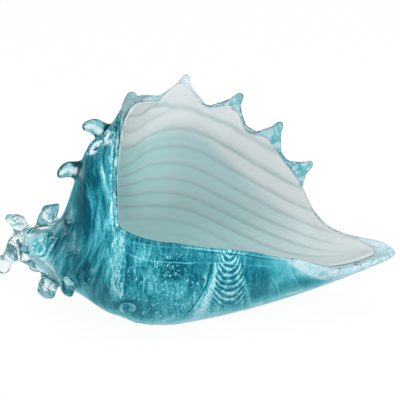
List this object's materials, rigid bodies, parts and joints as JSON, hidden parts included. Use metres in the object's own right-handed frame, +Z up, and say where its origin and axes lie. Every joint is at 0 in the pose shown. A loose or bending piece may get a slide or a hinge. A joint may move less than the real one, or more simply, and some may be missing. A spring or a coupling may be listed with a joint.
{
  "type": "shell paperweight",
  "caption": "Blown glass conch shell ornament with a wide open mouth, a pointed lip, a knobbed spire and a flat ground base to lie on, used as a paperweight.",
  "frame": {"origin": "on the flat ground base under the belly, below the widest part of the shell", "axes": "+X from the spire to the tip of the canal, +Y from the open mouth to the standing lip at the back, +Z up from the ground base"},
  "size_m": [0.203, 0.1034, 0.1117],
  "materials": {
    "aqua_glass": "fire-polished, clear over teal with pale streaks and flecks",
    "opal_glass": "fire-polished opaque white with a grey-green tinge",
    "clear_glass": "fire-polished clear"
  },
  "bodies": {
    "root": {"aqua_casing": "aqua_glass", "opal_lining": "opal_glass", "clear_spire_cap": "clear_glass", "lip_point_1": "aqua_glass", "lip_point_2": "aqua_glass", "lip_point_3": "aqua_glass", "lip_point_4": "aqua_glass", "lip_point_5": "aqua_glass", "shoulder_knob_1": "aqua_glass", "shoulder_knob_2": "aqua_glass", "shoulder_knob_3": "aqua_glass", "shoulder_knob_4": "aqua_glass", "shoulder_knob_5": "aqua_glass", "shoulder_knob_6": "aqua_glass", "shoulder_knob_7": "aqua_glass", "shoulder_knob_8": "aqua_glass", "shoulder_knob_9": "aqua_glass", "spire_prunt_1": "clear_glass", "spire_prunt_2": "clear_glass", "spire_prunt_3": "clear_glass", "spire_prunt_4": "clear_glass", "spire_prunt_5": "clear_glass", "spire_prunt_6": "clear_glass", "spire_prunt_7": "clear_glass", "apex_prunt_1": "clear_glass", "apex_prunt_2": "clear_glass", "apex_prunt_3": "clear_glass"}
  },
  "joints": []
}
